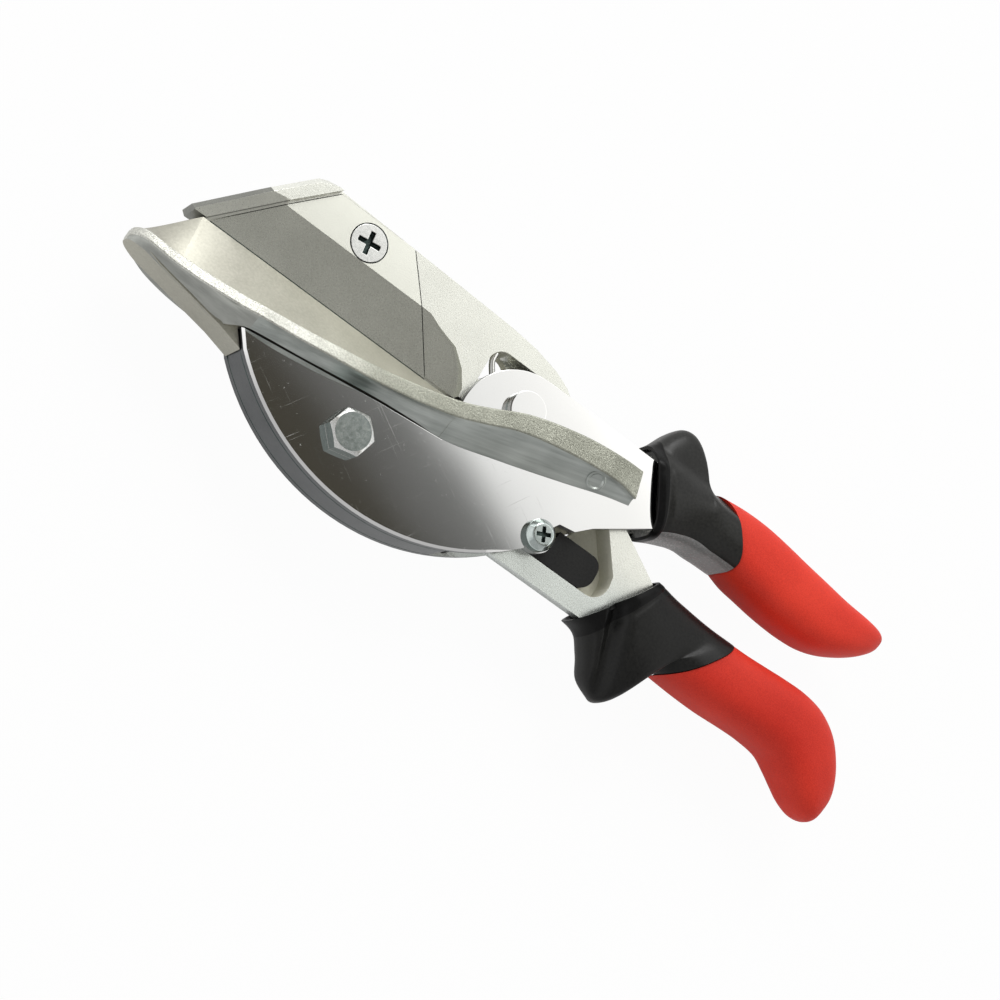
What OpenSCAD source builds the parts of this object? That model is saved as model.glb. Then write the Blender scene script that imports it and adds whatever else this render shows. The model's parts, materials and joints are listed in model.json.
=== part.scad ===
// Mitre shears, lying flat, jaws closed and locked. Millimetres.
// Profiles are drawn from the pivot, with x toward the grips and y toward the back of the blade.

/* [Stack] */
// Thickness of each side plate
plate_t = 2.5; // [2.2:0.1:2.8]
// Thickness of the blade lever
lever_t = 8.8; // [8.4:0.1:9.2]
// Running gap between the lever and each side plate
side_gap = 0.1; // [0.06:0.02:0.2]

/* [Side plates] */
// Radius of the belly curve
belly_r = 58; // [57:0.5:60]
// Radius of the ear round the pivot
ear_r = 16.4; // [15.8:0.2:17]

/* [Mitre table] */
// Widest half width of the table rim
rim_half = 14.8; // [14:0.1:16]
// Height of the rim band along the jaw
rim_h = 4; // [3.4:0.1:4.6]
// Half width of the flat land under the blade
land_half = 4; // [3.8:0.1:4.4]
// Width of the anvil insert
insert_w = 6; // [5:0.1:6.6]
// Depth of the anvil insert
insert_d = 3; // [2:0.1:3.6]

/* [Blade] */
// Thickness of the blade
blade_t = 3.2; // [2.8:0.1:3.6]
// Height of the gap between the blade edge and the land
edge_gap = 0.2; // [0.1:0.05:0.5]
// Diameter of the blade screw head
blade_head_d = 9.6; // [9:0.1:10.4]

/* [Fasteners] */
// Diameter of the pivot and table bolt shanks
bolt_d = 6; // [5.6:0.1:6.2]
// Width across flats of the table bolt head and the nuts
bolt_af = 10; // [9.4:0.1:10.6]
// Height of the table bolt head
bolt_head_h = 4; // [3.4:0.1:4.6]
// Diameter of the pivot bolt head
pivot_head_d = 9.5; // [9:0.1:10.5]
// Outer diameter of the pivot bush
bush_d = 9; // [8.4:0.1:9.6]
// Diameter of the lock screw shank
lock_d = 5; // [4.6:0.1:5.2]
// Diameter of the lock screw head
lock_head_d = 7.8; // [7.4:0.1:8.6]

/* [Lock] */
// Travel of the lock slider
lock_travel = 4; // [3.4:0.1:4]
// Height of the thumb pad over the lever face
thumb_h = 0.4; // [0.2:0.1:2]

/* [Spring] */
// Wire diameter of the opening spring
wire_d = 1.5; // [1.2:0.1:1.6]
// Mean radius of the opening spring
coil_r = 8.85; // [8.7:0.05:9]
// Rise of the opening spring for each turn
coil_pitch = 2.05; // [2.02:0.01:2.1]

/* [Grips] */
// Half thickness of the collars
collar_half = 10; // [9.8:0.1:11]
// Half thickness of the sleeves at their middle
grip_half = 9.5; // [9.2:0.1:10.5]
// Diameter of the tang rivets
rivet_d = 5; // [4:0.1:5.6]

/* [Hidden] */
$fn = 48;
fit = 0.05;
lev = lever_t / 2;
zi = lev + side_gap;
zo = zi + plate_t;
land_y = -7.2;
edge_y = land_y + edge_gap;
blade_z = lev - blade_t;
bolt_at = [-34.3, -30.4];
lock_at = [18.2, -23.1];
screw_at = [-52.4, 11.8];
open_deg = 25;
fan_deg = atan2(lock_at[1], lock_at[0]);
fan_r = norm(lock_at);
fan_end = [fan_r * cos(fan_deg + open_deg), fan_r * sin(fan_deg + open_deg)];
lock_clear = lock_d / 2 + 0.4;
sweep_r = norm([11.4, -32.8]) + 0.9;
slot_floor = -2.5;
washer_h = 0.5;
pivot_head_h = 2.1;
head_room = 0.3;
relief_z = 1.5;
relief_lean = 22;
wash_z = zo + washer_h;
pocket_floor = -1.6;
coil_n = 8;
coil_turns = 2;
wing_in = zo + fit;
spread = rim_half / 14.8;
move_to = [-10.95, 11.35, rim_half];

// Numbers along the jaw: position, then the value there
rim_w_at = [[-99.4, 2.6], [-98.8, 5], [-97.4, 7.6], [-94.6, 10.2], [-90, 12], [-82, 13.3], [-73, 14],
    [-65, 14.6], [-57, 14.8], [-49, 14.8], [-41, 14.1], [-34, 13], [-28, 12.3], [-22, 11.8], [-15, 11.5],
    [-8, 11.3], [0, 11.2], [9, 11], [18, 10.8], [29, 10.4], [34.6, 10]];
rim_y_at = [[-99.4, -18.7], [-97.4, -18.9], [-94.6, -19.7], [-90, -20.6], [-82, -20.7], [-73, -20.2],
    [-65, -19.3], [-57, -18.4], [-49, -17.2], [-41, -15.8], [-34, -14.2], [-28, -12.7], [-22, -11],
    [-15, -8.8], [-8, -5.6], [0, -1.6], [9, 1.3], [18, 3.3], [24, 4.1], [29, 4.5], [34.6, 4.7]];
band_at = [[-15, 1], [0, 1.2], [18, 1.42], [29, 1.45], [34.6, 1.7]];
under_y_at = [[-99.4, -22.7], [-97.4, -23], [-90, -24], [-82, -25], [-73, -26], [-67.8, -24.2],
    [-52.6, -22.3], [-31.8, -19.5], [-14.2, -17.8], [0, -14], [18, -8.4], [29, -4.8], [34.6, -3.4]];
top_y_at = [[-99.4, -18.3], [-98.8, -17.9], [-97.4, -17], [-94.6, -14.4], [-90, -9.4], [-88, -7.2],
    [-15, -7.2], [-8, -4.6], [0, -0.6], [18, 4.2], [29, 5.2], [34.6, 5.4]];
top_w_at = [[-99.4, 0.5], [-98.8, 0.8], [-97.4, 1.6], [-94.6, 2.6], [-90, 3.7], [-88, 4], [-15, 4],
    [-8, 7.6], [34.6, 7.8]];
stations = [-99.4, -98.8, -97.4, -94.6, -90, -88, -82, -73, -67.8, -60, -52.6, -46, -40, -31.8, -26,
    -20, -14.2, -8, 0, 9, 18, 24, 29, 34.6];

function se(t, p) = sign(t) * pow(abs(t), 2 / p);
function ring(s, p, n) = [for (j = [0:n - 1])
    let (c = se(cos(360 * j / n), p), d = se(sin(360 * j / n), p))
    [(s[0] + s[2]) / 2 + (s[0] - s[2]) / 2 * c + s[5] * d * d,
     (s[1] + s[3]) / 2 + (s[1] - s[3]) / 2 * c, s[4] * d]];
function table_ring(x) =
    let (w = lookup(x, rim_w_at) * spread, yr = lookup(x, rim_y_at), h = rim_h * lookup(x, band_at),
         yu = lookup(x, under_y_at), t = lookup(x, top_y_at),
         l = lookup(x, top_w_at) * (x < -14 ? land_half / 4 : 1),
         k = min(w * 0.6, x < -70 ? 4.6 : zo - 0.2))
    [[x, t, l], [x, yr + 0.25, w - 0.7], [x, yr - 0.6, w], [x, yr - h + 0.6, w], [x, yr - h, w - 0.7],
     [x, yu, k], [x, yu, -k], [x, yr - h, 0.7 - w], [x, yr - h + 0.6, -w], [x, yr - 0.6, -w],
     [x, yr + 0.25, 0.7 - w], [x, t, -l]];
function unit(v) = v / norm(v);
function tube_ring(p, t, r) =
    let (a = unit(cross(t, [0, 0, 1])), b = cross(a, unit(t)))
    [for (j = [0:5]) p + r * cos(60 * j) * a + r * sin(60 * j) * b];

coil_top = lev - 0.2 - wire_d / 2;
coil_path = concat([[-12.1, 9.2, coil_top], [-12, 7, coil_top], [-10.9, 5, coil_top], [-9.5, 3, coil_top]],
    [for (i = [0:coil_n * coil_turns]) let (a = 175 + 360 * i / coil_n)
        [coil_r * cos(a), coil_r * sin(a), coil_top - coil_pitch * i / coil_n]],
    [[-9.1, -2.2, coil_top - coil_pitch * coil_turns]]);
coil_last = len(coil_path) - 1;
coil_gap = min([for (i = [0:coil_last]) for (j = [0:coil_last]) if (j > i + 4)
    norm(coil_path[i] - coil_path[j])]) - wire_d;
echo(spring_gap_to_itself = coil_gap, spring_turns = coil_turns);

// Top x, top y, bottom x, bottom y, half thickness, bulge toward the end
upper_collar_at = [[33.4, 14.2, 44.2, -6.4, 0.93, 0], [34.8, 16.2, 45.6, -5.9, 1, 0.3],
    [37, 20.4, 47.8, -5, 0.97, 0.5], [39.6, 23.4, 50.2, -4, 0.95, 0.8],
    [42.4, 24, 52.8, -2.9, 0.94, 1.1], [45.2, 21.2, 55.4, -2.1, 0.95, 1.6],
    [48, 17.2, 58.4, -1.6, 0.97, 2.2], [51.2, 14.9, 62, -1.3, 0.98, 2.6],
    [55.2, 14.7, 66.2, -1.3, 0.98, 3]];
upper_grip_at = [[55.5, 14.7, 66.5, -1.3, 0.98, 3], [62.5, 15.5, 71, -2.6, 1, 2.4],
    [69.5, 15.6, 76, -3.2, 1, 1.8], [76.5, 15, 81.5, -3.8, 1, 1.2], [83.5, 14.1, 87, -4.1, 1, 0.8],
    [91, 13.3, 92, -4.1, 0.98, 0.5], [99, 12.4, 97.5, -3.5, 0.95, 0.3], [106.9, 12, 103, -1.7, 0.88, 0],
    [111.4, 11.6, 108.7, 1.5, 0.7, 0], [113.9, 10.8, 112.2, 4.5, 0.45, 0],
    [114.9, 9.4, 114.3, 7, 0.16, 0]];
lower_collar_at = [[52.4, -13.2, 39.4, -33.4, 0.93, 0], [54, -13.4, 42.6, -34.7, 0.97, 0],
    [56, -13.7, 45.8, -38.8, 0.94, 0], [59, -14, 48.6, -43.6, 0.9, 0], [62, -14.2, 52.6, -46.7, 0.88, 0],
    [65, -14.4, 55.6, -45.2, 0.9, 0.5], [68, -14.6, 57.3, -40.8, 0.93, 1],
    [71, -14.8, 58.6, -35.6, 0.96, 1.5], [74, -15, 60.4, -31.6, 0.98, 2],
    [76.6, -15.1, 63.8, -32.2, 0.98, 2]];
lower_grip_at = [[76.9, -15.1, 64.1, -32.3, 0.98, 2], [82, -15, 72, -32.7, 1, 1.6],
    [88, -14.6, 80, -32.8, 1, 1], [94, -14.2, 88, -32.4, 1, 0.5], [100, -14.1, 94, -32.3, 1, 0],
    [105.2, -14.8, 100.2, -33, 0.98, 0], [109.2, -16.3, 104.4, -35.2, 0.95, 0],
    [112.8, -18.7, 108, -37.5, 0.91, 0], [115.8, -22, 111.4, -39.6, 0.84, 0],
    [118.4, -26, 115.2, -40.9, 0.72, 0], [120.4, -30.4, 118.4, -40.6, 0.5, 0],
    [121.3, -34.4, 120.4, -38.6, 0.16, 0]];

function scaled(list, half) = [for (s = list) [s[0], s[1], s[2], s[3], s[4] * half, s[5]]];

module loft(rings, flat = false) {
    n = len(rings[0]);
    m = len(rings);
    sides = [for (i = [0:m - 2]) for (j = [0:n - 1]) for (k = [0:1])
        k == 0 ? [i * n + j, (i + 1) * n + j, i * n + (j + 1) % n]
               : [(i + 1) * n + j, (i + 1) * n + (j + 1) % n, i * n + (j + 1) % n]];
    h = n / 2;
    first = flat ? [[for (j = [0:n - 1]) j]]
        : concat([[0, 1, n - 1]], [for (j = [1:h - 2]) [j, j + 1, n - j - 1, n - j]], [[h - 1, h, h + 1]]);
    last = [for (f = first) [for (j = [len(f) - 1:-1:0]) (m - 1) * n + f[j]]];
    polyhedron(points = [for (r = rings) for (p = r) p], faces = concat(first, sides, last), convexity = 6);
}

module placed() {
    translate(move_to) children();
}

module slab(z0, z1) {
    translate([0, 0, z0]) linear_extrude(height = z1 - z0) children();
}

module rod(at, d, z0, z1) {
    translate([at[0], at[1], z0]) cylinder(d = d, h = z1 - z0);
}

module hexagon(at, af, z0, z1) {
    translate([at[0], at[1], z0]) rotate([0, 0, 12]) cylinder(d = af / cos(30), h = z1 - z0, $fn = 6);
}

module tang_bar(c) {
    polygon([[30, 10.2 + c], [60, 10.2 + c], [94 + c, 9.6 + c], [94 + c, 1.4 - c], [60, 1 - c],
        [51, 0.6 - c],
        [43.4 + c, -4.1 - c], [30, -13.2 - c]]);
}

module belly_profile() {
    intersection() {
        translate([-24.4, 13.4]) circle(r = belly_r, $fn = 96);
        polygon([[-67.8, lookup(-67.8, under_y_at) - fit], [-52.6, lookup(-52.6, under_y_at) - fit],
            [-31.8, lookup(-31.8, under_y_at) - fit], [-14.2, lookup(-14.2, under_y_at) - fit], [16.5, -14],
            [16.5, -50], [-46, -53]]);
    }
}

module plate(z0, z1) {
    difference() {
        union() {
            slab(z0, z1) belly_profile();
            rod([2, -6.3], 2 * ear_r, z0, z1);
            slab(z0, z1) polygon([[-14.2, -19], [-14.2, -6.3], [2, -6.3 + ear_r], [31, 10.2], [60, 10.2],
                [94, 9.6],
                [94, 1.4], [60, 1], [51, 0.6], [43.4, -4.1], [29.5, -13.5], [25.9, -16.9], [21.6, -17.6],
                [16, -26],
                [-10, -30]]);
            rod(lock_at, 8.4, z0, z1);
        }
        rod([0, 0], bolt_d + 2 * fit, z0 - 1, z1 + 1);
        rod(bolt_at, bolt_d + 2 * fit, z0 - 1, z1 + 1);
        rod(lock_at, lock_d + 2 * fit, z0 - 1, z1 + 1);
        rod([55, 5.6], rivet_d + 2 * fit, z0 - 1, z1 + 1);
        rod([85, 5.6], rivet_d + 2 * fit, z0 - 1, z1 + 1);
    }
}

module near_side_plate() {
    color([0.8, 0.79, 0.78]) placed() plate(zi, zo);
}

module far_side_plate() {
    color([0.78, 0.77, 0.76]) placed() plate(-zo, -zi);
}

module keel() {
    slab(-zi + fit, zi - fit) difference() {
        intersection() {
            translate([-24.4, 13.4]) circle(r = belly_r, $fn = 96);
            polygon([[-66, -20], [-15, -15], [-15, -31], [5, -31], [5, -60], [-46, -60], [-46, -53],
                [-67.6, -24.4]]);
        }
        translate(bolt_at) circle(d = bolt_d + 2 * fit);
        intersection() {
            circle(r = sweep_r, $fn = 96);
            translate([-15, -60]) square([40, 60]);
        }
    }
    slab(-5, 5) polygon([[-98, -21.5], [-98, -22.6], [-90, -23.7], [-82, -24.8], [-72, -26.5], [-65.9, -28],
        [-65, -28.3], [-68.2, -24.1], [-68.2, -21]]);
}

module mitre_table() {
    color([0.74, 0.74, 0.72]) placed() difference() {
        union() {
            loft([for (x = stations) table_ring(x)], true);
            keel();
        }
        translate([-15, -40, -wing_in]) cube([60, 70, 2 * wing_in]);
        rod([0, 0], pivot_head_d + 1.2, 0, wash_z + pivot_head_h + head_room);
        rod([0, 0], bolt_af / cos(30) + 1.2, -zo - 12, 0);
        translate([-87 - fit, land_y - insert_d - fit, -insert_w / 2 - fit])
            cube([67 + 2 * fit, insert_d + 3, insert_w + 2 * fit]);
    }
}

module anvil_insert() {
    color([0.87, 0.85, 0.78]) placed()
        translate([-87, land_y - insert_d, -insert_w / 2]) cube([67, insert_d, insert_w]);
}

module table_bolt() {
    color([0.66, 0.69, 0.72]) placed() {
        difference() {
            hexagon(bolt_at, bolt_af, zo, zo + bolt_head_h);
            difference() {
                rod(bolt_at, 2 * bolt_af, zo + bolt_head_h - 1.2, zo + bolt_head_h + 1);
                translate([bolt_at[0], bolt_at[1], zo + bolt_head_h - 1.2])
                    cylinder(r1 = bolt_af / 2 + 1.6, r2 = bolt_af / 2 - 0.5, h = 1.21);
            }
        }
        rod(bolt_at, bolt_d, -zo - 5.4, zo + 0.2);
    }
}

module table_nut() {
    color([0.66, 0.69, 0.72]) placed() difference() {
        hexagon(bolt_at, bolt_af, -zo - 5, -zo);
        rod(bolt_at, bolt_d + fit, -zo - 6, -zo + 1);
    }
}

module pivot_bolt() {
    color([0.86, 0.86, 0.85]) placed() {
        difference() {
            rod([0, 0], pivot_head_d, wash_z, wash_z + pivot_head_h);
            translate([-8, -0.6, wash_z + pivot_head_h - 1]) cube([16, 1.2, 3]);
        }
        rod([0, 0], bolt_d, -wash_z - 4.2, wash_z + 0.2);
    }
}

module pivot_nut() {
    color([0.7, 0.72, 0.74]) placed() difference() {
        hexagon([0, 0], bolt_af, -wash_z - 3.8, -wash_z);
        rod([0, 0], bolt_d + fit, -wash_z - 6, -wash_z + 1);
    }
}

module pivot_washers() {
    color([0.78, 0.78, 0.78]) placed() for (s = [0, 1]) mirror([0, 0, s]) difference() {
        rod([0, 0], 9.4, zo, wash_z);
        rod([0, 0], bolt_d + 2 * fit, zo - 1, wash_z + 1);
    }
}

module lock_screw() {
    color([0.84, 0.84, 0.82]) placed() {
        difference() {
            union() {
                rod(lock_at, lock_head_d, zo, zo + 1.6);
                translate([lock_at[0], lock_at[1], zo + 1.6])
                    cylinder(d1 = lock_head_d, d2 = lock_head_d - 2.4, h = 1.4);
            }
            translate([lock_at[0], lock_at[1], zo + 1.8]) rotate([0, 0, 25]) {
                translate([-1.9, -0.5, 0]) cube([3.8, 1, 4]);
                translate([-0.5, -1.9, 0]) cube([1, 3.8, 4]);
            }
        }
        rod(lock_at, lock_d, -zo - 4.2, zo + 0.2);
    }
}

module lock_nut() {
    color([0.7, 0.72, 0.74]) placed() difference() {
        hexagon(lock_at, 8, -zo - 4, -zo);
        rod(lock_at, lock_d + fit, -zo - 6, -zo + 1);
    }
}

module upper_spacer() {
    color([0.5, 0.5, 0.5]) placed() slab(-zi + fit, zi - fit) difference() {
        polygon([[46, 9.6], [92, 9], [92, 2], [60, 1.6], [52, 1.2]]);
        translate([55, 5.6]) circle(d = rivet_d + 2 * fit);
        translate([85, 5.6]) circle(d = rivet_d + 2 * fit);
    }
}

module tang_rivets() {
    color([0.6, 0.6, 0.6]) placed() {
        rod([55, 5.6], rivet_d, -zo, zo);
        rod([85, 5.6], rivet_d, -zo, zo);
    }
}

module upper_collar() {
    color([0.05, 0.05, 0.055]) placed() difference() {
        loft([for (s = scaled(upper_collar_at, collar_half)) ring(s, 2.7, 20)]);
        slab(-zo - fit, zo + fit) tang_bar(fit);
    }
}

module upper_grip() {
    color([0.8, 0.09, 0.07]) placed() difference() {
        loft([for (s = scaled(upper_grip_at, grip_half)) ring(s, 2.7, 20)]);
        slab(-zo - fit, zo + fit) tang_bar(fit);
    }
}

module tang_core(c) {
    polygon([[30, -3 + c], [37.8, -7.4 + c], [49.8, -14.3 + c], [58, -19.5 + c], [106 + c, -20.4 + c],
        [106 + c, -29 - c], [48, -29.5 - c], [38.5, -32.8 - c], [30, -32.8 - c]]);
}

module lever_profile() {
    polygon([[-91.5, -5.7], [-90.4, -6.7], [-86, -6.5], [-85, -5.7], [-12, -5.7], [0, 0], [9, 11.2],
        [7.6, 12.5],
        [3, 14.4], [-4, 15.9], [-11.6, 16.6], [-31, 17.2], [-64, 18.1], [-68.6, 17.8], [-70.6, 16.9],
        [-72.4, 15]]);
    circle(r = 14.5, $fn = 72);
    polygon([[10, 9.6], [30.2, -3], [34, -6], [34, -32.8], [11.4, -32.8], [8, -32.2], [-6, -12]]);
    tang_core(0);
}

module blade_profile(c) {
    polygon([[-86.8 - c, edge_y], [-63.9 - c, 17.6], [-42.1 + c, 17.6], [-22.7 + c, edge_y]]);
}

module bevel(up) {
    translate([-100, 0, up]) rotate([90, 0, 90]) linear_extrude(height = 90)
        polygon([[7, lev], [edge_y, blade_z + 0.15], [edge_y - 4, blade_z - 0.74], [edge_y - 4, lev + 9],
            [7 + 30, lev + 9], [7 + 30, lev + 6.64]]);
}

module bevel_zone() {
    polygon([[-96, 8], [-33.6, 8], [-27.2, 5.4], [-21.8, 3.9], [-17.8, 0.4], [-15.3, -3.6], [-14.8, -9],
        [-96, -9]]);
}

module fan() {
    difference() {
        circle(r = fan_r + lock_clear, $fn = 96);
        circle(r = fan_r - lock_clear, $fn = 96);
        polygon([[0, 0], 60 * [cos(fan_deg), sin(fan_deg)], [0, -90], [-90, 0], [0, 90], [90, 60],
            60 * [cos(fan_deg + open_deg), sin(fan_deg + open_deg)]]);
    }
    translate(lock_at) circle(r = lock_clear);
    translate(fan_end) circle(r = lock_clear);
}

module slider_slot() {
    translate([13.6, -27.2]) square([22.9, 9.4]);
    translate([36.6, -22.5]) circle(r = 4.7);
    polygon([[27.6, -10.8], [33.9, -9.7], [41, -19.4], [41.4, -22.5], [39, -23], [20, -20], [24, -13]]);
}

module spring_pocket() {
    difference() {
        union() {
            circle(r = 10.5);
            translate([-9.2, 6.7]) circle(r = 4);
            translate([-13.2, 0]) square([8, 6.7]);
            translate([-9.2, 2]) square([9.2, 8.7]);
        }
        circle(r = 7.4);
    }
}

module spring_window() {
    difference() {
        translate([-9.2, 6.7]) circle(r = 4);
        circle(r = 10.5);
    }
}

module arm_relief() {
    translate([4, -32.8, relief_z]) rotate([relief_lean, 0, 0]) translate([0, -12, -12]) cube([34.4, 12, 12]);
}

module blade_lever() {
    color([0.77, 0.77, 0.76]) placed() difference() {
        union() {
            difference() {
                slab(-lev, lev) lever_profile();
                intersection() {
                    bevel(0);
                    slab(-20, 20) bevel_zone();
                }
            }
            difference() {
                slab(0, lev + 1.8) polygon([[-91.5, -5.7], [-90.4, -6.7], [-87.3, -6.6], [-64.3, 17.9],
                    [-68.6, 17.8], [-70.6, 16.9], [-72.4, 15]]);
                bevel(1.8);
            }
        }
        slab(blade_z - 0.02, lev + 20) blade_profile(fit);
        slab(pocket_floor, lev + 1) spring_pocket();
        slab(-lev - 1, lev + 1) spring_window();
        arm_relief();
        slab(slot_floor, lev + 1) slider_slot();
        slab(-lev - 1, lev + 1) fan();
        rod([0, 0], bush_d + 2 * fit, -lev - 1, lev + 1);
        rod(screw_at, 5 + 2 * fit, -lev - 1, lev + 1);
        rod([92, -24.7], rivet_d + 2 * fit, -lev - 1, lev + 1);
    }
}

module pivot_bush() {
    color([0.72, 0.6, 0.36]) placed() difference() {
        rod([0, 0], bush_d, -lev, lev);
        rod([0, 0], bolt_d + 2 * fit, -lev - 1, lev + 1);
    }
}

module blade() {
    color([0.6, 0.6, 0.59]) placed() difference() {
        slab(blade_z, lev) blade_profile(0);
        bevel(0);
        rod(screw_at, 5 + 2 * fit, blade_z - 1, lev + 1);
        translate([screw_at[0], screw_at[1], lev - 2.35])
            cylinder(d1 = 5 + 2 * fit, d2 = blade_head_d + 2 * fit, h = 2.36);
    }
}

module blade_screw() {
    color([0.88, 0.88, 0.86]) placed() difference() {
        union() {
            rod(screw_at, 5, -lev, lev - 1);
            translate([screw_at[0], screw_at[1], lev - 2.3]) cylinder(d1 = 5, d2 = blade_head_d, h = 2.3);
        }
        translate([screw_at[0], screw_at[1], lev - 1.5]) rotate([0, 0, 8]) {
            translate([-2.9, -0.6, 0]) cube([5.8, 1.2, 4]);
            translate([-0.6, -2.9, 0]) cube([1.2, 5.8, 4]);
        }
    }
}

module opening_spring() {
    color([0.82, 0.82, 0.8]) placed()
        loft([for (i = [0:coil_last])
            tube_ring(coil_path[i], coil_path[min(i + 1, coil_last)] - coil_path[max(i - 1, 0)],
                wire_d / 2)], true);
}

module lower_pin() {
    color([0.6, 0.6, 0.6]) placed() rod([92, -24.7], rivet_d, -lev, lev);
}

module lower_collar() {
    color([0.05, 0.05, 0.055]) placed() difference() {
        loft([for (s = scaled(lower_collar_at, collar_half)) ring(s, 2.7, 20)]);
        slab(-lev - fit, lev + fit) tang_core(fit);
    }
}

module lower_grip() {
    color([0.8, 0.09, 0.07]) placed() difference() {
        loft([for (s = scaled(lower_grip_at, grip_half)) ring(s, 2.7, 20)]);
        slab(-lev - fit, lev + fit) tang_core(fit);
    }
}

module lock_path() {
    for (t = [0:0.25:1]) translate([
        fan_r * cos(fan_deg + open_deg * t) - lock_travel * t, fan_r * sin(fan_deg + open_deg * t)])
        circle(r = lock_clear);
}

module slider_end(c) {
    hull() {
        translate([32.5, -27 + c]) square([0.5, 9 - 2 * c]);
        translate([34, -21]) circle(r = 3 - c);
        translate([32.8, -22.8]) circle(r = 4.2 - c);
    }
}

module lock_slider() {
    color([0.07, 0.07, 0.075]) placed() difference() {
        union() {
            slab(slot_floor + 0.1, lev - 0.1) {
                translate([14, -27]) square([18.5, 9]);
                slider_end(0);
            }
            slab(0, lev + thumb_h) {
                translate([28, -26.4]) square([4.5, 7.8]);
                slider_end(0.6);
            }
        }
        slab(-10, 10) {
            lock_path();
            translate([13, lock_at[1]]) square([lock_at[0] - 13, 10]);
            translate([lock_at[0] - lock_clear, lock_at[1]]) square([2 * lock_clear, 10]);
        }
    }
}

near_side_plate();
far_side_plate();
mitre_table();
anvil_insert();
table_bolt();
table_nut();
pivot_bolt();
pivot_nut();
pivot_washers();
lock_screw();
lock_nut();
upper_spacer();
tang_rivets();
upper_collar();
upper_grip();
blade_lever();
pivot_bush();
blade();
blade_screw();
opening_spring();
lower_pin();
lower_collar();
lower_grip();
lock_slider();
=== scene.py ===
"""Looks of the mitre shears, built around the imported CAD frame."""

import json
import math

import bmesh
import bpy
from mathutils import Matrix, Vector


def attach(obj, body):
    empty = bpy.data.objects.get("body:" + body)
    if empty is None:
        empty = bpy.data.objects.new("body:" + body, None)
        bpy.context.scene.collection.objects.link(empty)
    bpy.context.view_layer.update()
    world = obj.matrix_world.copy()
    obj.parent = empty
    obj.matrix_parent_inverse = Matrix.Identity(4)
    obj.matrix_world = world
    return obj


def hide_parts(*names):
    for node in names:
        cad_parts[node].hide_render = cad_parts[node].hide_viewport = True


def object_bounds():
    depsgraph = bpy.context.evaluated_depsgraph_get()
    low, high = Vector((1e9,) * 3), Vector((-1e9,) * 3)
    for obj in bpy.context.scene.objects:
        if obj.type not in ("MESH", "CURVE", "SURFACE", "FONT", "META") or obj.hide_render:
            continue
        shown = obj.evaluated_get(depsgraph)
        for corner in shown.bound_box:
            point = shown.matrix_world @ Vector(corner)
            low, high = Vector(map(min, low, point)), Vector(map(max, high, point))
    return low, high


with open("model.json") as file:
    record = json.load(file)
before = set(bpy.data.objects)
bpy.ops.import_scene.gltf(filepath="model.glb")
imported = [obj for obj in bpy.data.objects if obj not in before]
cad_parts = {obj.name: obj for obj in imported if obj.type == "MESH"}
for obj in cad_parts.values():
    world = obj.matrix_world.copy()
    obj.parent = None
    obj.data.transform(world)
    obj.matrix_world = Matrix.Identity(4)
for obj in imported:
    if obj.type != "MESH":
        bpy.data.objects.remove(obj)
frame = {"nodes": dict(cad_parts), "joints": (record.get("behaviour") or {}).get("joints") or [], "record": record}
CAD_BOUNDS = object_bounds()
MM = 0.001
PIVOT = Vector(frame["joints"][0]["pos_m"])
NODES = frame["nodes"]
BODY_OF = {n: b for b, ns in frame["record"]["behaviour"]["bodies"].items() for n in ns}
SLOT_OF = {s["node"]: s["material_slot"] for s in frame["record"]["subparts"]}


def at(x, y, z=0.0):
    """A point given in millimetres from the pivot, in the row frame."""
    return PIVOT + Vector((x, y, z)) * MM


# Materials

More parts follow.
